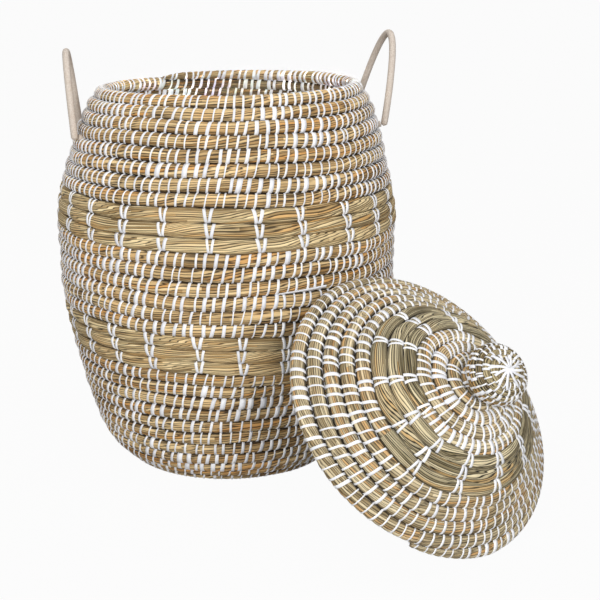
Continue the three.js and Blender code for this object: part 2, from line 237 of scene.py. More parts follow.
def coil_path(outline, first, turns, start, sense, bend, full):
    """The middle line of a bundle from one row to another, with its outward way and its length so far."""
    turn = np.linspace(0, turns, int(turns * POINTS_PER_TURN) + 1)
    high = full(turn)
    angle = start + sense * 2 * math.pi * turn
    row, swell = bend(angle, first + turn + 0.5 * high)
    r, z, nr, nz = along_line(row, outline[:, 0], outline[:, 1:]).T
    sunk = COIL_DEPTH / 2 - swell
    r, z = r - nr * sunk, z - nz * sunk
    place = np.column_stack([r * np.cos(angle), r * np.sin(angle), z])
    out = np.column_stack([nr * np.cos(angle), nr * np.sin(angle), nz])
    return {"place": place, "out": out, "along": length_of(place), "high": high, "angle": angle, "row": row}


def at_lengths(path, wanted):
    """The values of a path at the lengths asked for, with the direction it runs in there."""
    found = {name: along_line(wanted, path["along"], values) for name, values in path.items()}
    step = np.gradient(path["place"], path["along"], axis=0)
    found["ahead"] = unit(along_line(wanted, path["along"], step))
    return found


def chain(count, first=0):
    """The edges that join points one after the other."""
    return [(i, i + 1) for i in range(first, first + count - 1)]


def marked_mesh(name, places, edges, marks):
    """A mesh of points and edges that carries named values for a node tree."""
    mesh = bpy.data.meshes.new(name)
    mesh.from_pydata(places.tolist(), edges, [])
    for label, values in marks.items():
        wide = values.ndim == 2
        mark = mesh.attributes.new(label, "FLOAT_VECTOR" if wide else "FLOAT", "POINT")
        mark.data.foreach_set("vector" if wide else "value", np.ascontiguousarray(values, np.float32).ravel())
    return mesh


def new_tree(name, labels):
    """An empty geometry tree, and what its inputs give: the geometry and the named values."""
    kinds = {"Geometry": "Geometry", "Sides": "Int", "Material": "Material"}
    fresh = bpy.data.node_groups.new(name, "GeometryNodeTree")
    for label in ("Geometry", *labels):
        kind = "NodeSocket" + kinds.get(label, "Float")
        fresh.interface.new_socket(label, in_out="INPUT", socket_type=kind)
    fresh.interface.new_socket("Geometry", in_out="OUTPUT", socket_type="NodeSocketGeometry")
    return fresh, fresh.nodes.new("NodeGroupInput").outputs


def grow(name, source, tree, values):
    """Runs a geometry tree on a source mesh and keeps the result as one plain mesh object."""
    holder = bpy.data.objects.new(name + "_source", source)
    scene.collection.objects.link(holder)
    modifier = holder.modifiers.new(tree.name, "NODES")
    modifier.node_group = tree
    for item in tree.interface.items_tree:
        if item.in_out == "INPUT" and item.name in values:
            modifier[item.identifier] = values[item.name]
    grown = bpy.data.meshes.new_from_object(holder.evaluated_get(bpy.context.evaluated_depsgraph_get()))
    bpy.data.objects.remove(holder)
    piece = bpy.data.objects.new(name, grown)
    scene.collection.objects.link(piece)
    return piece


def named(tree, name, kind="FLOAT"):
    """A named value of the mesh inside a geometry tree."""
    return made(tree, "GeometryNodeInputNamedAttribute", {"Name": name}, data_type=kind)


def vector(tree, *values):
    """Up to three values put together."""
    return made(tree, "ShaderNodeCombineXYZ", dict(enumerate(values)))


def parts_of(tree, value):
    """The three values of a vector."""
    return add(tree, "ShaderNodeSeparateXYZ", {0: value}).outputs


def noise(tree, where, scale, detail):
    """Soft random values over places."""
    return made(tree, "ShaderNodeTexNoise", {"Vector": where, "Scale": scale, "Detail": detail})


def stored(tree, geometry, name, value, kind="FLOAT_VECTOR"):
    """A geometry whose points carry a named value."""
    inputs = {"Geometry": geometry, "Name": name, "Value": value}
    return made(tree, "GeometryNodeStoreNamedAttribute", inputs, data_type=kind, domain="POINT")


def facing(tree, line, way):
    """A curve turned to face a given way."""
    return made(tree, "GeometryNodeSetCurveNormal", {"Curve": line, "Normal": way}, mode="FREE")


def path_line(tree, mesh):
    """The path that a piece follows, facing out of the object."""
    line = made(tree, "GeometryNodeMeshToCurve", {"Mesh": mesh})
    return facing(tree, line, named(tree, "out", "FLOAT_VECTOR"))


def circle(tree, sides):
    """A round section of radius 1."""
    return made(tree, "GeometryNodeCurvePrimitiveCircle", {"Resolution": sides, "Radius": 1})


def swept(tree, line, section, scale=1.0):
    """A section drawn along a curve and closed at its ends."""
    inputs = {"Curve": line, "Profile Curve": section, "Scale": scale, "Fill Caps": True}
    return made(tree, "GeometryNodeCurveToMesh", inputs)


def pushed(tree, geometry, way, reach):
    """A geometry whose points are moved a given way."""
    push = made(tree, "ShaderNodeVectorMath", {0: way, "Scale": reach}, operation="SCALE")
    return made(tree, "GeometryNodeSetPosition", {"Geometry": geometry, "Offset": push})


def put_out(tree, geometry, material):
    """Ends a tree: plain geometry in its material."""
    geometry = made(tree, "GeometryNodeRealizeInstances", {"Geometry": geometry})
    geometry = made(tree, "GeometryNodeSetMaterial", {"Geometry": geometry, "Material": material})
    add(tree, "NodeGroupOutput", {0: geometry})


def square_off(tree, value, squareness, size):
    """One coordinate of a circle pushed out towards a square of a given size."""
    grown = calc(tree, "POWER", calc(tree, "ABSOLUTE", value), calc(tree, "DIVIDE", 2.0, squareness))
    half = calc(tree, "MULTIPLY", size, 0.5)
    return calc(tree, "MULTIPLY", calc(tree, "MULTIPLY", grown, calc(tree, "SIGN", value)), half)


def put_out_bundle(tree, body, strand, lift, material):
    """Ends a bundle's tree: its strands marked for the finish, its surface raised and smooth."""
    body = stored(tree, body, "strand", strand)
    body = pushed(tree, body, made(tree, "GeometryNodeInputNormal"), lift)
    body = made(tree, "GeometryNodeSetShadeSmooth", {"Geometry": body, "Shade Smooth": True})
    put_out(tree, body, material)


# The bundle's tree: a squarish round section swept along the path, ridged by its straws
bundle_tree, given = new_tree("straw_bundle", (
    "Height", "Depth", "Sides", "Squareness", "Ridge", "Straw Run", "Material"))
tree = bundle_tree
where = made(tree, "GeometryNodeInputPosition")
part = parts_of(tree, where)
ring = stored(tree, circle(tree, given["Sides"]), "ring", where)
squared = vector(
    tree, square_off(tree, part[0], given["Squareness"], given["Depth"]),
    square_off(tree, part[1], given["Squareness"], given["Height"]))
ring = made(tree, "GeometryNodeSetPosition", {"Geometry": ring, "Position": squared})
body = swept(tree, path_line(tree, given["Geometry"]), ring, named(tree, "high"))
around = parts_of(tree, named(tree, "ring", "FLOAT_VECTOR"))
along = named(tree, "along")
straws = vector(
    tree, calc(tree, "MULTIPLY", along, given["Straw Run"]),
    calc(tree, "MULTIPLY", around[0], RIDGES_ACROSS), calc(tree, "MULTIPLY", around[1], RIDGES_ACROSS))
rough = calc(tree, "SUBTRACT", noise(tree, straws, 1.0, 2.0), 0.5)
lift = calc(tree, "SUBTRACT", calc(tree, "MULTIPLY", rough, given["Ridge"]), named(tree, "pinch"))
put_out_bundle(tree, body, vector(tree, along, around[0], around[1]), lift, given["Material"])


def flat_section(tree, given):
    """The section of a flat strip."""
    inputs = {"Width": given["Strip Thickness"], "Height": given["Strip Width"]}
    return made(tree, "GeometryNodeCurvePrimitiveQuadrilateral", inputs)


def set_on_points(tree, points, piece, size):
    """Copies of a piece on points, each turned to face out and along the bundle there."""
    axes = {"Primary Axis": named(tree, "out", "FLOAT_VECTOR"),
            "Secondary Axis": named(tree, "ahead", "FLOAT_VECTOR")}
    turned = made(tree, "FunctionNodeAxesToRotation", axes, primary_axis="Z", secondary_axis="X")
    copies = made(tree, "GeometryNodeInstanceOnPoints", {
        "Points": points, "Instance": piece, "Rotation": turned, "Scale": size})
    return made(tree, "GeometryNodeRealizeInstances", {"Geometry": copies})


# The lashing's tree: one turn of flat strip set on each point, which moves on along the bundle as it goes
# round and lies wider on the inside
lashing_tree, given = new_tree("strip_lashing", (
    "Height", "Depth", "Sides", "Squareness", "Strip Width", "Strip Thickness", "Material"))
tree = lashing_tree
ring = made(tree, "GeometryNodeCurveArc", {
    "Resolution": given["Sides"], "Radius": 1, "Start Angle": -math.pi / 2, "Sweep Angle": 2 * math.pi})
turn = calc(tree, "SUBTRACT", made(tree, "GeometryNodeSplineParameter"), 0.25)
ring = stored(tree, ring, "turn", turn, "FLOAT")
where = made(tree, "GeometryNodeInputPosition")
part = parts_of(tree, where)
squared = vector(
    tree, 0.0, square_off(tree, part[1], given["Squareness"], given["Height"]),
    square_off(tree, part[0], given["Squareness"], given["Depth"]))
ring = made(tree, "GeometryNodeSetPosition", {"Geometry": ring, "Position": squared})
turn = named(tree, "turn")
outward = calc(tree, "COSINE", calc(tree, "MULTIPLY", turn, 2 * math.pi))
spread = calc(tree, "MAXIMUM", calc(tree, "MULTIPLY", outward, -INNER_SPREAD), 0.0)
spread = calc(tree, "ADD", spread, 1.0)
strip = swept(tree, facing(tree, ring, where), flat_section(tree, given), spread)
high = named(tree, "high")
strips = set_on_points(tree, given["Geometry"], strip, vector(tree, named(tree, "wide"), high, high))
reach = calc(tree, "MULTIPLY", turn, named(tree, "advance"))
strips = pushed(tree, strips, named(tree, "ahead", "FLOAT_VECTOR"), reach)
put_out(tree, strips, given["Material"])


def linear(red, green, blue):
    """A colour as seen on a screen, out of 255, as the shader takes it."""
    return tuple(v / 12.92 if v <= 0.04045 else ((v + 0.055) / 1.055) ** 2.4
                 for v in (red / 255, green / 255, blue / 255)) + (1,)


def streaks(tree, strand, run, across, detail):
    """Noise drawn out along the straws."""
    drawn = made(tree, "ShaderNodeVectorMath", {0: strand, 1: (run, across, across)}, operation="MULTIPLY")
    return noise(tree, drawn, 1.0, detail)


def blend(tree, share, first, second):
    """Two colours mixed by a share."""
    return add(tree, "ShaderNodeMix", {0: share, 6: first, 7: second}, data_type="RGBA").outputs[2]


def ramp(tree, value, low, high):
    """0 below low, 1 above high, and smooth between."""
    return made(tree, "ShaderNodeMapRange", {0: value, 1: low, 2: high}, interpolation_type="SMOOTHSTEP")


def coat(tree, colour, roughness, height, relief, depth, gloss):
    """Ends a material's tree: a surface of a given colour with its relief."""
    bump = made(tree, "ShaderNodeBump", {"Strength": relief, "Distance": depth, "Height": height})
    shader = made(tree, "ShaderNodeBsdfPrincipled", {
        "Base Color": colour, "Roughness": roughness, "Normal": bump, "Specular IOR Level": gloss})
    add(tree, "ShaderNodeOutputMaterial", {"Surface": shader})


# The finish of dry straw as a node group: straws side by side round the bundle, each of its own tone and
# length, painted shade in the lines between them, on the bundle's inward face and where the rows join, and
# slow changes over the basket
straw_look = bpy.data.node_groups.new("straw_look", "ShaderNodeTree")
for label in ("Light", "Deep", "Golden", "Gap Shade"):
    straw_look.interface.new_socket(label, in_out="INPUT", socket_type="NodeSocketColor")
for label in ("Straw Gap Shade", "Straws", "Row Above", "Inside"):
    straw_look.interface.new_socket(label, in_out="INPUT", socket_type="NodeSocketFloat")
for label, kind in (("Color", "Color"), ("Roughness", "Float"), ("Height", "Float")):
    straw_look.interface.new_socket(label, in_out="OUTPUT", socket_type="NodeSocket" + kind)
tree = straw_look
given = tree.nodes.new("NodeGroupInput").outputs
strand = add(tree, "ShaderNodeAttribute", attribute_name="strand").outputs["Vector"]
along, across, down = parts_of(tree, strand)
wander = streaks(tree, strand, run=7.0, across=0.3, detail=1.0)
uneven = streaks(tree, strand, run=5.0, across=4.0, detail=0.0)
fine = streaks(tree, strand, run=34.0, across=20.0, detail=2.0)
slow = noise(tree, add(tree, "ShaderNodeTexCoord").outputs["Object"], scale=17.0, detail=2.0)

# Each straw's number, by where it lies round the bundle, and how near a point is to the straw's side
round_it = calc(tree, "DIVIDE", calc(tree, "ARCTAN2", down, across), 2 * math.pi)
lots = calc(tree, "MULTIPLY_ADD", along, 1.4, calc(tree, "MULTIPLY_ADD", wander, 0.4, round_it))
lots = calc(tree, "MULTIPLY_ADD", lots, given["Straws"], calc(tree, "MULTIPLY", uneven, 1.1))
straw = calc(tree, "FLOOR", lots)
side = calc(tree, "ABSOLUTE", calc(tree, "MULTIPLY_ADD", calc(tree, "FRACT", lots), 2.0, -1.0))

# Its own tone, from deep to light, with some straws and stretches golden
start = made(tree, "ShaderNodeTexWhiteNoise", {"W": straw}, noise_dimensions="1D")
length = calc(tree, "FLOOR", calc(tree, "MULTIPLY_ADD", start, 9.0, calc(tree, "MULTIPLY", along, 7.0)))
own = add(tree, "ShaderNodeTexWhiteNoise", {"Vector": vector(tree, straw, length)}, noise_dimensions="3D")
lightness, gold, edge = add(tree, "ShaderNodeSeparateColor", {0: own.outputs["Color"]}).outputs
lightness = calc(tree, "ADD", lightness, calc(tree, "MULTIPLY_ADD", slow, 0.9, -0.45))
lightness = calc(tree, "ADD", lightness, calc(tree, "MULTIPLY_ADD", fine, 0.8, -0.4))
tone = blend(tree, lightness, given["Deep"], given["Light"])
warm = calc(tree, "MULTIPLY", ramp(tree, gold, 0.86, 0.9), 0.8)
warm = calc(tree, "MAXIMUM", warm, calc(tree, "MULTIPLY", ramp(tree, slow, 0.5, 0.7), 0.4))
tone = blend(tree, warm, tone, given["Golden"])

# Painted shade, in a dark colour: on the bundle's inward-facing side, in the lines between straws, and along
# the seams where the rows join
# Painted shade on the bundle's side that faces into the basket, or under the lid
inside_shade_share = calc(tree, "MULTIPLY", ramp(tree, across, 0.1, -0.6), given["Inside"])
tone = blend(tree, inside_shade_share, tone, given["Gap Shade"])
# Painted shade in the narrow lines between neighbouring straws
line = ramp(tree, side, calc(tree, "MULTIPLY_ADD", edge, -0.7, 0.8), 0.94)
tone = blend(tree, calc(tree, "MULTIPLY", line, given["Straw Gap Shade"]), tone, given["Gap Shade"])
# Painted shade along the row's lower seam and, where a row lies above, along its upper seam
above = calc(tree, "MULTIPLY", calc(tree, "MULTIPLY", down, -1.0), given["Row Above"])
seam_shade = calc(tree, "MULTIPLY_ADD", fine, 0.16, calc(tree, "MAXIMUM", down, above))
tone = blend(tree, calc(tree, "MULTIPLY", ramp(tree, seam_shade, 0.72, 1.0), 0.96), tone, given["Gap Shade"])
height = calc(tree, "SUBTRACT", calc(tree, "MULTIPLY", fine, 0.3), calc(tree, "MULTIPLY", side, side))
roughness = calc(tree, "MULTIPLY_ADD", fine, -0.25, 0.85)
add(tree, "NodeGroupOutput", {"Color": tone, "Roughness": roughness, "Height": height})


def straw_material(name, colours, gap_shade=0.9, straws=17.0, row_above=1.0, inside_shade=0.6):
    """Dry straw in one set of colours: light, deep, golden, and the dark painted as shade between its straws,
    along its seams and on its inward face.
    """
    finish, tree = bare_material(name)
    values = dict(zip(("Light", "Deep", "Golden", "Gap Shade"), (linear(*colour) for colour in colours)))
    values.update({"Straw Gap Shade": gap_shade, "Straws": straws, "Row Above": row_above, "Inside": inside_shade})
    look = add(tree, "ShaderNodeGroup", values, node_tree=straw_look).outputs
    coat(tree, look["Color"], look["Roughness"], look["Height"], relief=0.9, depth=0.0011, gloss=0.3)
    return finish


# The last colour of each straw set is the dark painted as shade between straws, along the seams and on the
# inward face
wall_colours = ((242, 213, 160), (156, 121, 73), (212, 156, 87), (34, 23, 13))
stitched_straw = straw_material("stitched_straw", wall_colours)

white_strip, tree = bare_material("white_strip")
shade = add(tree, "ShaderNodeAttribute", attribute_name="shade").outputs["Fac"]
tone = blend(tree, shade, linear(226, 227, 232), linear(247, 248, 251))
crinkle = noise(tree, add(tree, "ShaderNodeTexCoord").outputs["Object"], scale=420.0, detail=2.0)
coat(tree, tone, 0.38, crinkle, relief=0.25, depth=0.0006, gloss=0.4)


def strip_piece(name, source, tree, body, sizes):
    """White strip made by a tree on its source mesh. It moves with its body."""
    piece = grow(name, source, tree, {**sizes, "Material": white_strip})
    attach(piece, body)


def stitches_along(path, seed, step, at, uneven):
    """Where each stitch sits, its width, how far it moves on, and its shade. Wide ones come in runs."""
    random = np.random.default_rng(seed)
    end = path["along"][-1]
    if at is None:
        count = int(end / step)
        at = (np.arange(count) + 0.5) * end / count + random.normal(0, STITCH_JITTER, count)
    count = len(at)
    draws = random.normal(0, 1, count + WIDTH_RUN - 1)
    runs = np.convolve(draws, np.ones(WIDTH_RUN) / math.sqrt(WIDTH_RUN), "valid")
    wide = np.exp(uneven * (WIDTH_BY_RUN * runs + random.normal(0, WIDTH_CHANCE, count)))
    return {
        "at": np.clip(np.sort(at), STITCH_MARGIN, end - STITCH_MARGIN), "wide": np.clip(wide, *WIDTH_LIMITS),
        "advance": STRIP_ADVANCE * step * (1 + random.normal(0, ADVANCE_CHANCE, count)),
        "shade": random.random(count)}


def coil_piece(node, path, body, material, at, pinch, sides=COIL_SIDES, ridge=COIL_RIDGE, height=COIL_HEIGHT,
               depth=COIL_DEPTH, square=COIL_SQUARENESS):
    """A stretch of the straw bundle along its path, drawn in at the lengths given, in place of its solid."""
    spots = at_lengths(path, at)
    marks = {"out": spots["out"], "along": spots["along"], "high": spots["high"], "pinch": pinch}
    source = marked_mesh(node + "_path", spots["place"], chain(len(at)), marks)
    piece = grow(node + "_straw", source, bundle_tree, {
        "Height": height, "Depth": depth, "Sides": sides, "Squareness": square, "Ridge": ridge,
        "Straw Run": STRAW_RUN, "Material": material})
    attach(piece, body)
    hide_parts(node)


def lashed_coil(node, path, body, material, seed, width=0.0028, height=COIL_HEIGHT, depth=COIL_DEPTH,
                ridge=COIL_RIDGE, step=STITCH_STEP, stitched_at=None, uneven=1.0):
    """A stretch of stitched rows: the straw bundle, and the strip wound round it turn by turn."""
    stitches = stitches_along(path, seed, step, stitched_at, uneven)
    at = stitches["at"]
    ends = np.array((0, path["along"][-1]))
    between = (np.concatenate([ends[:1], at]) + np.concatenate([at, ends[1:]])) / 2
    between = np.concatenate([between, np.arange(at[-1] + step, ends[1] - TAIL_MARGIN, TAIL_STEP)])
    lengths = np.concatenate([ends, at, between])
    pinch = np.concatenate([(0, 0), np.full(len(at), STITCH_PINCH), np.full(len(between), -STRAW_SWELL)])
    order = np.argsort(lengths)
    coil_piece(node, path, body, material, lengths[order], pinch[order], ridge=ridge, height=height,
               depth=depth)
    spots = at_lengths(path, at)
    marks = {"out": spots["out"], "ahead": spots["ahead"], "wide": stitches["wide"],
             "advance": stitches["advance"], "high": spots["high"], "shade": stitches["shade"]}
    name = node.replace("_coils", "").replace("_coil", "") + "_lashing"
    strip_piece(name, marked_mesh(name + "_points", spots["place"], [], marks), lashing_tree, body, {
        "Height": height + STRIP_OVER_HEIGHT, "Depth": depth + STRIP_OVER_DEPTH, "Sides": STRIP_SIDES,
        "Squareness": COIL_SQUARENESS, "Strip Width": width, "Strip Thickness": STRIP_THICKNESS})


flat_base = np.column_stack([np.linspace(0, BASE_FLAT_R, 60), np.zeros(60)])
foot_bend = rounded((BASE_FLAT_R, 0), (0.144, 0), FOOT, 20)[1:]
wall_line = smooth_through([
    FOOT, (0.178, 0.036), (0.21, 0.139), (0.2305, 0.246), (0.2305, 0.298), (0.2305, 0.35),
    (0.2065, 0.453), (0.191, 0.492), (0.168, 0.524)])
base_outline = outline_by_row(np.vstack([flat_base, foot_bend]), 0, BASE_ROWS, 1)
wall_outline = outline_by_row(wall_line, BASE_ROWS, LAST_ROW, 1)
basket_outline = np.vstack([base_outline[:-1], wall_outline])


def basket_bend(angle, row):
    """The basket's unevenness: its middle rows sink towards the right, and each row wavers a little."""
    up_wall = np.clip((row - BASE_ROWS) / SAGGING_ROWS, 0, 1)
    free = np.sin(math.pi * up_wall)
    sink = 0.4 * np.cos(angle) * free
    waver = 0.07 * np.sin(3 * angle + 0.4 * row) + 0.05 * np.sin(7 * angle - 0.6 * row)
    swell = 0.0007 * np.sin(2 * angle + 0.5 * row) + 0.0006 * np.sin(9 * angle + 2.3 * row)
    pressed = np.interp(row, (8.2, 9.6), (0.0013, 0.0004))
    return row - sink + waver * np.minimum(1, 4 * free), swell * np.minimum(1, 3 * free) - pressed


def basket_path(first, turns, full=np.ones_like):
    """The basket's bundle from one row to another. Its top leans a little to the right."""
    start = COIL_START + 2 * math.pi * (first % 1)
    path = coil_path(basket_outline, first, turns, start, 1, basket_bend, full)
    path["place"][:, 0] += TOP_LEAN * np.clip((path["place"][:, 2] - LEAN_FROM) / LEAN_RISE, 0, None)
    path["along"] = length_of(path["place"])
    return path


lashed_coil("base_centre", basket_path(-0.55, 1.55), "basket", stitched_straw, 1, ridge=BASE_RIDGE,
            step=0.008)
lashed_coil("base_coil", basket_path(1, 7), "basket", stitched_straw, 2, ridge=BASE_RIDGE)


# Lower wall: ten stitched rows that climb outward from the foot, where the bundle goes on from the base.
# A strip holds each row to the row below it, about every thumb's breadth.
lashed_coil("lower_wall_coils", basket_path(8, 10), "basket", stitched_straw, 3, width=0.0034)


# Lower band: three rows of the same bundle left bare, without the wound strip. They are held only by columns
# of paired strips that close to a V.
BAND_HEIGHT = 0.0206
BAND_RIDGE = 0.0032
BAND_SQUARENESS = 2.5
BAND_SIDES = 32
BAND_STEP = 0.0058
BAND_SWELL = 0.0008
TIE_PINCH = 0.002
TIE_REACH = 0.012
TIE_DRIFT = -0.0005
TIE_MARGIN = 0.004
TIE_SUNK = 0.0006
TIE_WIDTHS = (0.8, 1.2)
TIE_THICKNESS = 0.0008
TIE_SIDES = 16
TIE_FOOT = 0.0015
TIE_SPREAD = 0.0036

# Its last colour is the dark painted as shade
band_colours = ((250, 227, 177), (160, 132, 87), (214, 166, 100), (34, 25, 15))
band_straw = straw_material("band_straw", band_colours, gap_shade=0.88, straws=28.0)

# The ties' tree: two flat strips round the bundle, apart at the top of the row and close at its foot
tie_tree, given = new_tree("paired_ties", (
    "Height", "Depth", "Sides", "Squareness", "Strip Width", "Strip Thickness", "Foot", "Spread", "Material"))
tree = tie_tree
part = parts_of(tree, made(tree, "GeometryNodeInputPosition"))
climb = calc(tree, "MULTIPLY_ADD", part[1], 0.5, 0.5)
apart = calc(tree, "MULTIPLY_ADD", climb, given["Spread"], given["Foot"])
pair = add(tree, "GeometryNodeJoinGeometry")
for side in (1, -1):
    squared = vector(
        tree, calc(tree, "MULTIPLY", apart, side),
        square_off(tree, part[1], given["Squareness"], given["Height"]),
        square_off(tree, part[0], given["Squareness"], given["Depth"]))
    ring = circle(tree, given["Sides"])
    ring = made(tree, "GeometryNodeSetPosition", {"Geometry": ring, "Position": squared})
    ring = facing(tree, ring, vector(tree, 0.0, part[1], part[2]))
    strip = made(tree, "GeometryNodeCurveToMesh", {"Curve": ring, "Profile Curve": flat_section(tree, given)})
    tree.links.new(strip, pair.inputs[0])
size = vector(tree, named(tree, "wide"), 1.0, 1.0)
put_out(tree, set_on_points(tree, given["Geometry"], pair.outputs[0], size), given["Material"])


def band_pieces(node, name, path, columns, drift, body, material, seed, sense=1, start=COIL_START,
                width=0.0038):
    """A bare band: rows of straw drawn in by columns of paired ties."""
    random = np.random.default_rng(seed)
    end = path["along"][-1]
    wanted = []
    for level in range(int(round(path["row"][-1] - path["row"][0]))):
        for column in columns:
            turn = (sense * (math.radians(column) - start) / (2 * math.pi)) % 1 + level
            angle = start + sense * 2 * math.pi * turn
            at = np.interp(angle, path["angle"][::sense], path["along"][::sense])
            wanted.append(at + drift * level + random.normal(0, STITCH_JITTER))
    wanted = np.clip(np.sort(wanted), TIE_MARGIN, end - TIE_MARGIN)

    lengths = np.linspace(0, end, int(end / BAND_STEP) + 1)
    near = np.min(np.abs(lengths[:, None] - wanted[None]), axis=1)
    pinch = TIE_PINCH * np.exp(-(near / TIE_REACH) ** 2) - BAND_SWELL
    coil_piece(node, path, body, material, lengths, pinch, sides=BAND_SIDES, ridge=BAND_RIDGE,
               height=BAND_HEIGHT, square=BAND_SQUARENESS)
    spots = at_lengths(path, wanted)
    marks = {"out": spots["out"], "ahead": spots["ahead"], "wide": random.uniform(*TIE_WIDTHS, len(wanted)),
             "shade": random.random(len(wanted))}
    strip_piece(name, marked_mesh(name + "_points", spots["place"], [], marks), tie_tree, body, {
        "Height": COIL_HEIGHT - TIE_SUNK, "Depth": COIL_DEPTH - TIE_SUNK, "Sides": TIE_SIDES,
        "Squareness": BAND_SQUARENESS, "Strip Width": width, "Strip Thickness": TIE_THICKNESS,
        "Foot": TIE_FOOT, "Spread": TIE_SPREAD})


lower_columns = [-156, -141.5, -127.4, -112.8, -96.1, -82.1, -67.9, *range(-53, 190, 15)]
band_pieces("lower_band_coils", "lower_band_ties", basket_path(18, 3), lower_columns, TIE_DRIFT, "basket",
            band_straw, 4)


# Middle wall: six stitched rows round the fullest part of the belly. At the front right, where one strip ran
# out, the start of the next one lies flat along the foot of a row.
START_POINTS = 14
START_TURNS = (3.444, 3.49)
START_LEVELS = (-0.86, -0.45)
START_PROUD = 0.0008
START_WIDTH = 0.0042
START_SHADE = 0.2

middle_wall = basket_path(21, 6)
lashed_coil("middle_wall_coils", middle_wall, "basket", stitched_straw, 5, width=0.003, height=0.0195)

# The loose strips' tree: a flat strip swept along each line of its path
strip_tree, given = new_tree("flat_strip", ("Strip Width", "Strip Thickness", "Material"))
strip = swept(strip_tree, path_line(strip_tree, given["Geometry"]), flat_section(strip_tree, given))
put_out(strip_tree, strip, given["Material"])

# The start follows the bundle's section, so that it lies on the straw as it climbs
angle = COIL_START + 2 * math.pi * np.linspace(*START_TURNS, START_POINTS)
spots = at_lengths(middle_wall, np.interp(angle, middle_wall["angle"], middle_wall["along"]))
level = np.linspace(*START_LEVELS, START_POINTS)[:, None]
bulge = (1 - np.abs(level) ** COIL_SQUARENESS) ** (1 / COIL_SQUARENESS)
over = np.cross(spots["out"], spots["ahead"])
way = unit(spots["out"] * bulge ** (COIL_SQUARENESS - 1)
           + over * np.sign(level) * np.abs(level) ** (COIL_SQUARENESS - 1))
place = (spots["place"] + over * level * COIL_HEIGHT / 2 + spots["out"] * bulge * COIL_DEPTH / 2
         + way * START_PROUD)
marks = {"out": way, "shade": np.full(START_POINTS, START_SHADE)}
source = marked_mesh("strip_start_path", place, chain(START_POINTS), marks)
strip_piece("middle_wall_strip_start", source, strip_tree, "basket", {
    "Strip Width": START_WIDTH, "Strip Thickness": TIE_THICKNESS})


# Upper band: three more rows of bare straw, above the belly, with their own columns of paired strips that tie
# each row to the row below it.
upper_columns = [-149.8, -135.4, -121, -106.9, -92.3, -76.8, -62.7, -45.2, -29.5, -16.5, *range(-2, 195, 15)]
band_pieces("upper_band_coils", "upper_band_ties", basket_path(27, 3), upper_columns, TIE_DRIFT, "basket",
            band_straw, 6)


# Upper wall and rim: seven stitched rows that draw in to the mouth, and the last turn, whose bundle thins
# to a tail at the back left and is sewn down on the row below it.
def rim_tail(turn):
    """How thick the rim's bundle is along its turn."""
    return np.interp(turn, (0.75, 0.975, 1), (1, 0.54, 0.25))


lashed_coil("upper_wall_coils", basket_path(30, 7), "basket", stitched_straw, 7, width=0.003, step=0.0118)
# The rim's straw has the wall's colours with less painted shade on its inward face, and no painted seam shade
# along its top, where no row lies above
rim_straw = straw_material("rim_straw", wall_colours, row_above=0.0, inside_shade=0.15)
lashed_coil("rim_coil", basket_path(37, 1, rim_tail), "basket", rim_straw, 8, width=0.003, step=0.0103,
            uneven=0.5)


# Handles: each is a loop of rope, wrapped all along with cream cord, that stands on the wall four rows
# below the rim. Its two ends go through the wall and are knotted inside.
ROPE_R = 0.00475
ROPE_SIDES = 14
ROPE_STEP = 0.0011
WRAP_STEP = 0.0034
WRAP_RISE = 0.0005
BALL_END = 0.014
HANDLE_HALF_ANGLE = 17
LOOP_FULLNESS = 1.7
PIVOT_PROUD = 0.00615
STUB_PROUD = 0.001
STUB_INSIDE = 0.0205
KNOT_ROPE_R = 0.0042
KNOT_SMALL = 0.0026
KNOT_BIG = 0.0036
KNOT_INSIDE = 0.0262
KNOT_WAVE = 0.0034

cream_cord, tree = bare_material("cream_cord")
strand = add(tree, "ShaderNodeAttribute", attribute_name="strand").outputs["Vector"]
fibres = streaks(tree, strand, run=900.0, across=3.0, detail=3.0)
slow = noise(tree, add(tree, "ShaderNodeTexCoord").outputs["Object"], scale=60.0, detail=3.0)
tone = blend(tree, ramp(tree, fibres, 0.3, 0.7), linear(190, 176, 162), linear(216, 206, 196))
stained = calc(tree, "MULTIPLY", ramp(tree, slow, 0.5, 0.75), 0.35)
tone = blend(tree, stained, tone, linear(188, 170, 150))
coat(tree, tone, 0.7, fibres, relief=0.4, depth=0.0005, gloss=0.3)

# The cord's tree: a round rope swept along its path, with the turns of the wrapping raised round it
cord_tree, given = new_tree("wrapped_rope", ("Radius", "Sides", "Wrap Step", "Wrap Rise", "Material"))
tree = cord_tree
ring = stored(tree, circle(tree, given["Sides"]), "ring", made(tree, "GeometryNodeInputPosition"))
size = vector(tree, given["Radius"], given["Radius"], 1.0)
ring = made(tree, "GeometryNodeTransform", {"Geometry": ring, "Scale": size})
rope = swept(tree, path_line(tree, given["Geometry"]), ring, named(tree, "high"))
around = parts_of(tree, named(tree, "ring", "FLOAT_VECTOR"))
along = named(tree, "along")
turn = calc(tree, "DIVIDE", calc(tree, "ARCTAN2", around[1], around[0]), 2 * math.pi)
wrap = calc(tree, "FRACT", calc(tree, "ADD", calc(tree, "DIVIDE", along, given["Wrap Step"]), turn))
wrap = calc(tree, "ABSOLUTE", calc(tree, "MULTIPLY_ADD", wrap, 2.0, -1.0))
sunk = calc(tree, "MULTIPLY", calc(tree, "POWER", wrap, 3.0), given["Wrap Rise"])
lift = calc(tree, "MULTIPLY", sunk, -1.0)
put_out_bundle(tree, rope, vector(tree, along, around[0], around[1]), lift, given["Material"])


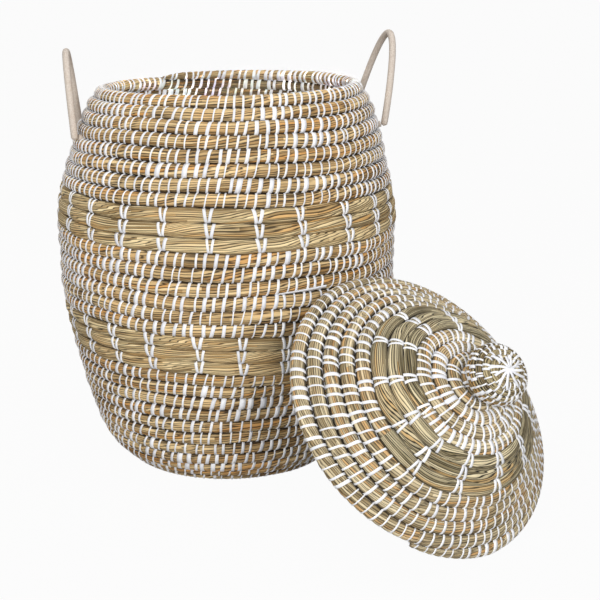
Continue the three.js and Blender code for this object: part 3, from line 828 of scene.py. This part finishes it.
def rope_piece(name, points, node, body, radius, thick=np.ones_like):
    """A rope along the points of its middle line, in place of its solid."""
    length = length_of(points)
    even = np.linspace(0, length[-1], int(length[-1] / ROPE_STEP) + 1)
    place = along_line(even, length, points)
    ahead = unit(np.gradient(place, even, axis=0))
    out = np.cross(ahead[0], (0.3, 0.2, 0.9))
    ways = []
    for way in ahead:
        out = out - way * np.dot(out, way)
        out /= np.linalg.norm(out)
        ways.append(out)
    marks = {"out": np.array(ways), "along": even, "high": thick(even / length[-1])}
    source = marked_mesh(name + "_path", place, chain(len(even)), marks)
    piece = grow(name, source, cord_tree, {
        "Radius": radius, "Sides": ROPE_SIDES, "Wrap Step": WRAP_STEP, "Wrap Rise": WRAP_RISE,
        "Material": cream_cord})
    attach(piece, body)
    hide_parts(node)


def round_ends(share):
    """How thick the rope is along its way, with its ends closed to a ball."""
    short_of_full = 1 - np.minimum(1, np.minimum(share, 1 - share) / BALL_END)
    return np.sqrt(np.clip(1 - short_of_full ** 2, 0.01, 1))


# Each loop stands on the line that it turns about, and its ends lie where the rope goes into the wall
rope_ends = {}
for side, sense, azimuth, half_span, height, lean in (
    ("right", 1, 16.5, 0.061306, 0.1175, 13.5),
    ("left", -1, 187, 0.062173, 0.104, 5),
):
    joint = next(joint for joint in frame["joints"] if joint["name"] == side + "_handle_swing")
    middle = np.array(joint["pos_m"])
    to_back = sense * half_span * np.array(joint["axis"])
    rope_ends[side + "_handle_front_knot"] = (middle - to_back, azimuth - sense * HANDLE_HALF_ANGLE)
    rope_ends[side + "_handle_back_knot"] = (middle + to_back, azimuth + sense * HANDLE_HALF_ANGLE)
    turn = math.radians(azimuth)
    tilt = math.radians(lean)
    rise = np.array((math.sin(tilt) * math.cos(turn), math.sin(tilt) * math.sin(turn), math.cos(tilt)))
    sweep = np.linspace(0, math.pi, 241)[:, None]
    loop = middle - np.cos(sweep) * to_back + rise * height * np.sin(sweep) ** LOOP_FULLNESS
    tips = ROPE_R * unit(np.array((loop[0] - loop[1], loop[-1] - loop[-2])))
    loop = np.vstack([loop[0] + tips[0], loop, loop[-1] + tips[1]])
    rope_piece(side + "_handle_rope", loop, side + "_handle_loop", side + "_handle", ROPE_R, round_ends)

# Each end goes straight in from its seat on the wall, just inside the line that the loop turns about, and is
# tied in a trefoil knot
for node, (pivot, azimuth) in rope_ends.items():
    turn = math.radians(azimuth)
    seat = pivot
    for _ in range(4):
        nr, nz = (np.interp(seat[2], wall_outline[:, 2], wall_outline[:, k]) for k in (3, 4))
        out = np.array((nr * math.cos(turn), nr * math.sin(turn), nz))
        seat = pivot - PIVOT_PROUD * out
    across = np.array((-math.sin(turn), math.cos(turn), 0))
    over = np.cross(out, across)
    t = np.linspace(0, 2 * math.pi, 120)[:, None]
    trefoil = (across * (KNOT_SMALL * np.sin(t) + KNOT_BIG * np.sin(2 * t))
               + over * (KNOT_SMALL * np.cos(t) - KNOT_BIG * np.cos(2 * t))
               - out * (KNOT_INSIDE + KNOT_WAVE * np.sin(3 * t)))
    stub = out * np.linspace(STUB_PROUD, -STUB_INSIDE, 30)[:, None]
    rope_piece(node + "_rope", seat + np.vstack([stub, trefoil[4:]]), node, "basket", KNOT_ROPE_R)


# Lid: a second coil, wound from the crown outward the other way round, steep like a hat. It is off and
# stands on its rim on the floor, leaning on the belly.
LID_TURN = math.radians(-48.9)
LID_TILT = math.radians(48.3)
LID_PLACE = np.array((0.244231, -0.255573, 0.143121))
LID_START = math.radians(232)
LID_ROWS = 13
LID_R = 0.196
LID_RISE = 0.097
LID_SLOPE = math.tan(math.radians(39))
LID_SKEW = np.array((0.008, -0.012)) / LID_RISE
LID_UNEVEN = 0.7
BAND_DELAY = 0.12

lid_across = np.array((-math.sin(LID_TURN), math.cos(LID_TURN), 0))
lid_up = np.array((
    math.sin(LID_TILT) * math.cos(LID_TURN), math.sin(LID_TILT) * math.sin(LID_TURN), math.cos(LID_TILT)))
lid_hill = np.cross(lid_up, lid_across)
lid_frame = np.vstack([lid_across, lid_hill, lid_up])

half_way = np.array((LID_R / 2, LID_R / 2 * LID_SLOPE))
crown = rounded((0, LID_RISE), (LID_R - LID_RISE / LID_SLOPE, LID_RISE), half_way, 120)
slope = crown[-1] + np.linspace(0, 1, 120)[1:, None] * half_way * (1, -1)
lid_outline = outline_by_row(np.vstack([crown, slope]), 0, LID_ROWS, -1)


def lid_bend(angle, row):
    """The lid's own unevenness: its first rows are wound round the knob, which is off the middle."""
    waver = 0.06 * np.sin(3 * angle + 0.3 * row) + 0.04 * np.sin(8 * angle - 0.5 * row)
    pressed = 0.2 * np.clip(-np.sin(angle), 0, 1) ** 6 * np.clip((row - 8) / 3, 0, 1)
    aside = 0.7 * np.clip(1 - row / 4, 0, 1) * np.cos(angle + 0.26)
    row = np.maximum(row + aside, 0.1) + waver * np.clip((row - 1) / 3, 0, 1) * np.clip((12 - row) / 2, 0, 1)
    return row - pressed, np.full_like(row, -0.0004)


def lid_path(first, turns, full=np.ones_like):
    """The lid's bundle from one row to another, put where the lid leans."""
    start = LID_START - 2 * math.pi * (first % 1)
    path = coil_path(lid_outline, first, turns, start, -1, lid_bend, full)
    skewed = path["place"].copy()
    skewed[:, :2] += path["place"][:, 2:] * LID_SKEW
    path["place"] = skewed @ lid_frame + LID_PLACE
    path["out"] = path["out"] @ lid_frame
    path["along"] = length_of(path["place"])
    return path


def lid_rim_tail(turn):
    """How thick the lid's last turn is along its way."""
    return np.interp(turn, (0.9, 1), (1, 0.35))


# The last colour of each set is the dark painted as shade
lid_colours = ((234, 217, 179), (148, 129, 93), (204, 160, 103), (34, 26, 16))
lid_band_colours = ((234, 219, 180), (112, 100, 70), (200, 164, 108), (22, 17, 11))
lid_columns = [128, 158, 187, 211, 239, 267, 296, 326, 356, 26, 62, 100]
lid_straw = straw_material("lid_straw", lid_colours, gap_shade=0.75, straws=21.0)
lid_band_straw = straw_material("lid_band_straw", lid_band_colours, gap_shade=1.0, straws=30.0)
# The lid's last turn has no painted seam shade along its top, where no row lies above
lid_rim_straw = straw_material("lid_rim_straw", lid_colours, gap_shade=0.75, straws=21.0, row_above=0.0)
lashed_coil("lid_centre", lid_path(-0.45, 1.45), "lid", lid_straw, 21, width=0.0025, ridge=BASE_RIDGE,
            step=0.0085)
lashed_coil("lid_inner_coils", lid_path(1, 3 + BAND_DELAY), "lid", lid_straw, 22, width=0.0031, height=0.0208,
            step=0.0088, uneven=LID_UNEVEN)
band_pieces("lid_band_coils", "lid_band_ties", lid_path(4 + BAND_DELAY, 3), lid_columns, 0.0, "lid",
            lid_band_straw, 25, sense=-1, start=LID_START - 2 * math.pi * BAND_DELAY, width=0.0034)
lashed_coil("lid_outer_coils", lid_path(7 + BAND_DELAY, 4 - BAND_DELAY), "lid", lid_straw, 23,
            uneven=LID_UNEVEN)
lashed_coil("lid_rim_coil", lid_path(11, 1, lid_rim_tail), "lid", lid_rim_straw, 24)


# Knob: a thinner bundle wound to a ball that fills the palm, sewn on the crown and lashed row by row with the
# same strip. At the tip flat strips fan out from one point over the last rows.
KNOB_R = 0.0375
KNOB_HEIGHT = 0.055
KNOB_GAP = 0.0003
KNOB_ASIDE = (0.013, -0.0035)
KNOB_LEAN = (-0.25, -0.141, 0.0)
KNOB_LOW = math.sin(math.radians(-52))
KNOB_CLIMB = (math.radians(-58), math.radians(84))
KNOB_ROW = 0.0098
KNOB_ROW_SHARE = 0.9
KNOB_STITCH_FIRST = 0.004
KNOB_STITCH_STEP = 0.0074
KNOB_STITCH_JITTER = 0.001
STAR_RAYS = 11
STAR_POINTS = 9
STAR_REACH = 0.62
STAR_REACH_CHANCE = 0.15
STAR_TURN_CHANCE = 0.12
STAR_TWIST = 0.5
STAR_PROUD = 0.0007
STAR_STACK = 0.00004
STAR_TUCK = 0.0035

knob_foot = np.interp(1, lid_outline[:, 0], lid_outline[:, 2]) + KNOB_GAP
knob_place = np.array((*(LID_SKEW * knob_foot + KNOB_ASIDE), knob_foot))
knob_lean = np.array(KNOB_LEAN)
knob_lean[2] = math.sqrt(1 - knob_lean @ knob_lean)
knob_side = np.cross((0, 1, 0), knob_lean)
knob_side /= np.linalg.norm(knob_side)
knob_axes = np.vstack([knob_side, np.cross(knob_lean, knob_side), knob_lean])


def on_knob(angle, climb, sunk):
    """Places a little below the ball's surface, and the way out of it there. The winding is a bit askew."""
    way = np.column_stack([np.cos(climb) * np.cos(angle), np.cos(climb) * np.sin(angle), np.sin(climb)])
    way = way @ knob_axes
    high = (way[:, 2] - KNOB_LOW) / (1 - KNOB_LOW) * (KNOB_HEIGHT - 2 * sunk) + sunk
    place = np.column_stack([way[:, :2] * (KNOB_R - sunk), high]) + knob_place
    return place @ lid_frame + LID_PLACE, unit(way * (1, 1, 1.3)) @ lid_frame


# The winding climbs the ball in even rows, so its height at each turn comes from the ball's own outline
climb = np.linspace(*KNOB_CLIMB, 300)
meridian = length_of(on_knob(np.zeros(300), climb, KNOB_ROW / 2)[0])
knob_turns = meridian[-1] / (KNOB_ROW * KNOB_ROW_SHARE)
turn = np.linspace(0, knob_turns, 2400)
climb = np.interp(turn / knob_turns, meridian / meridian[-1], climb)
place, out = on_knob(-2 * math.pi * turn, climb, KNOB_ROW / 2)
ball = {"place": place, "out": out, "high": np.ones_like(turn), "along": length_of(place)}
last_stitch = np.interp(knob_turns - 1, turn, ball["along"])
stitched_at = np.arange(KNOB_STITCH_FIRST, last_stitch, KNOB_STITCH_STEP)
stitched_at += np.random.default_rng(28).normal(0, KNOB_STITCH_JITTER, len(stitched_at))
# Its last colour is the dark painted as shade
knob_colours = ((210, 194, 151), (108, 89, 58), (192, 151, 88), (26, 19, 11))
knob_straw = straw_material("knob_straw", knob_colours, gap_shade=0.95, straws=13.0)
lashed_coil("lid_knob", ball, "lid", knob_straw, 26, width=0.0024, height=KNOB_ROW * 1.04, depth=KNOB_ROW,
            ridge=0.0006, step=0.003, stitched_at=stitched_at)

# The fan: at the tip each strip lies on the one before it, and its far end is tucked into the straw
random = np.random.default_rng(27)
star_places, star_outs, star_edges, star_shades = [], [], [], []
for ray in range(STAR_RAYS):
    end = STAR_REACH + random.uniform(-STAR_REACH_CHANCE, STAR_REACH_CHANCE)
    reach = np.linspace(0.01, end, STAR_POINTS)
    stray = random.uniform(-STAR_TURN_CHANCE, STAR_TURN_CHANCE)
    sweep = 2 * math.pi * ray / STAR_RAYS + stray + STAR_TWIST * reach
    place, out = on_knob(sweep, math.pi / 2 - reach, -STAR_PROUD - STAR_STACK * ray)
    place[-1] -= STAR_TUCK * out[-1]
    star_edges += chain(STAR_POINTS, STAR_POINTS * ray)
    star_places.append(place)
    star_outs.append(out)
    star_shades.append(np.full(STAR_POINTS, random.random()))
marks = {"out": np.vstack(star_outs), "shade": np.concatenate(star_shades)}
source = marked_mesh("knob_star_path", np.vstack(star_places), star_edges, marks)
strip_piece("lid_knob_star", source, strip_tree, "lid", {
    "Strip Width": 0.0031, "Strip Thickness": STRIP_THICKNESS})
